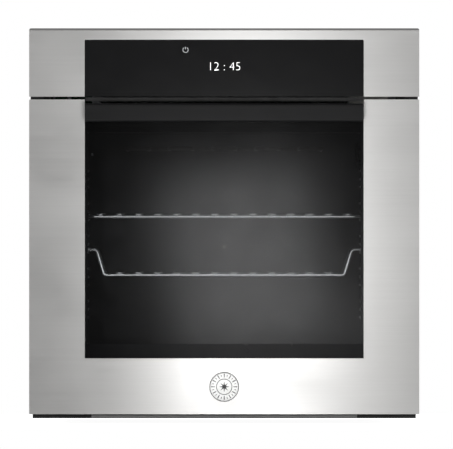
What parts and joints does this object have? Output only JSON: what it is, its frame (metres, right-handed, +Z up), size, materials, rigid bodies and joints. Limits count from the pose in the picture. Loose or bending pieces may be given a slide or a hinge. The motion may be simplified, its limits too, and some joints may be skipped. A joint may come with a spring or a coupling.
{
  "type": "built-in electric wall oven",
  "caption": "Built-in electric wall oven with a drop-down glass door, touch control panel, wire shelves, fan and heating elements in a casing for a cabinet niche.",
  "frame": {"origin": "middle of the box round the oven, on the plane it stands on", "axes": "+Z up, +X to the right seen from the front, the door faces -Y"},
  "size_m": [0.596, 0.6, 0.596],
  "materials": {
    "front_steel": "brushed stainless, horizontal grain",
    "black_glass": "glossy black printed glass",
    "window_glass": "tinted window glass with a black border",
    "clear_glass": "clear float glass",
    "handle_black": "satin black",
    "trim_black": "fine matt",
    "enamel": "speckled dark vitreous enamel",
    "frame_enamel": "dark enamelled steel",
    "galvanised": "zinc-coated sheet with spangle",
    "wool": "mineral wool",
    "chrome_wire": "chromed wire",
    "element_steel": "oxidised heating tube",
    "badge_metal": "satin chrome",
    "seal_rubber": "soft silicone",
    "ceramic_white": "unglazed ceramic",
    "lamp_clear": "clear borosilicate",
    "lamp_bulb": "warm lit lamp",
    "motor_steel": "bare motor casing",
    "hinge_steel": "zinc-plated hinge steel",
    "circuit_board": "solder-masked board",
    "display_dark": "dark display lens",
    "fan_alloy": "stamped fan sheet",
    "fixing_zinc": "zinc-plated screws",
    "duct_plastic": "moulded duct"
  },
  "bodies": {
    "chassis": {"front_frame": "frame_enamel", "side_panel_left": "galvanised", "side_panel_right": "galvanised", "top_cover": "galvanised", "base_panel": "galvanised", "rear_cover": "galvanised", "cavity_shell": "enamel", "cavity_back": "enamel", "insulation_blanket": "wool", "grill_element": "element_steel", "base_element": "element_steel", "ring_element": "element_steel", "fan_baffle": "enamel", "side_rack_left": "chrome_wire", "side_rack_right": "chrome_wire", "rack_studs": "fixing_zinc", "door_gasket": "seal_rubber", "lamp_holder": "ceramic_white", "lamp_bulb": "lamp_bulb", "lamp_glass": "lamp_clear", "temperature_probe": "hinge_steel", "separator_plate": "galvanised", "air_duct": "galvanised", "air_outlet_grille": "trim_black", "blower_housing": "galvanised", "blower_motor": "motor_steel", "convection_motor": "motor_steel", "power_board": "circuit_board", "thermal_cutout": "ceramic_white", "terminal_block": "ceramic_white", "cable_inlet": "trim_black", "lower_trim": "trim_black", "control_fascia": "front_steel", "control_glass": "black_glass", "panel_carrier": "duct_plastic", "touch_board": "circuit_board", "display_module": "display_dark", "casing_screws": "fixing_zinc", "hinge_arms": "hinge_steel", "hinge_receivers": "hinge_steel"},
    "door": {"door_outer_frame": "front_steel", "outer_glass": "window_glass", "middle_glass": "clear_glass", "inner_glass": "clear_glass", "door_column_left": "galvanised", "door_column_right": "galvanised", "door_top_cap": "trim_black", "door_bottom_rail": "trim_black", "handle_bar": "handle_black", "handle_mounts": "handle_black", "handle_screws": "fixing_zinc", "badge": "badge_metal", "hinge_channels": "hinge_steel", "hinge_pins": "hinge_steel", "hinge_springs": "hinge_steel"},
    "convection_fan": {"convection_fan_wheel": "fan_alloy", "fan_nut": "fixing_zinc"},
    "blower_drum": {"blower_rotor": "fan_alloy"},
    "upper_rack": {"upper_shelf": "chrome_wire"},
    "lower_rack": {"lower_shelf": "chrome_wire"}
  },
  "joints": [
    {"name": "door_hinge", "type": "hinge", "parent": "chassis", "child": "door", "pos_m": [0, -0.2525, 0.0104], "axis": [1, 0, 0], "range_deg": [0, 90]},
    {"name": "convection_fan_spin", "type": "hinge", "parent": "chassis", "child": "convection_fan", "pos_m": [0, 0.1842, 0.262], "axis": [0, 1, 0], "continuous": true},
    {"name": "blower_spin", "type": "hinge", "parent": "chassis", "child": "blower_drum", "pos_m": [0, 0.191, 0.531], "axis": [1, 0, 0], "continuous": true},
    {"name": "upper_shelf_slide", "type": "slide", "parent": "chassis", "child": "upper_rack", "axis": [0, -1, 0], "range_m": [0, 0.028]},
    {"name": "lower_shelf_slide", "type": "slide", "parent": "chassis", "child": "lower_rack", "axis": [0, -1, 0], "range_m": [0, 0.028]}
  ]
}
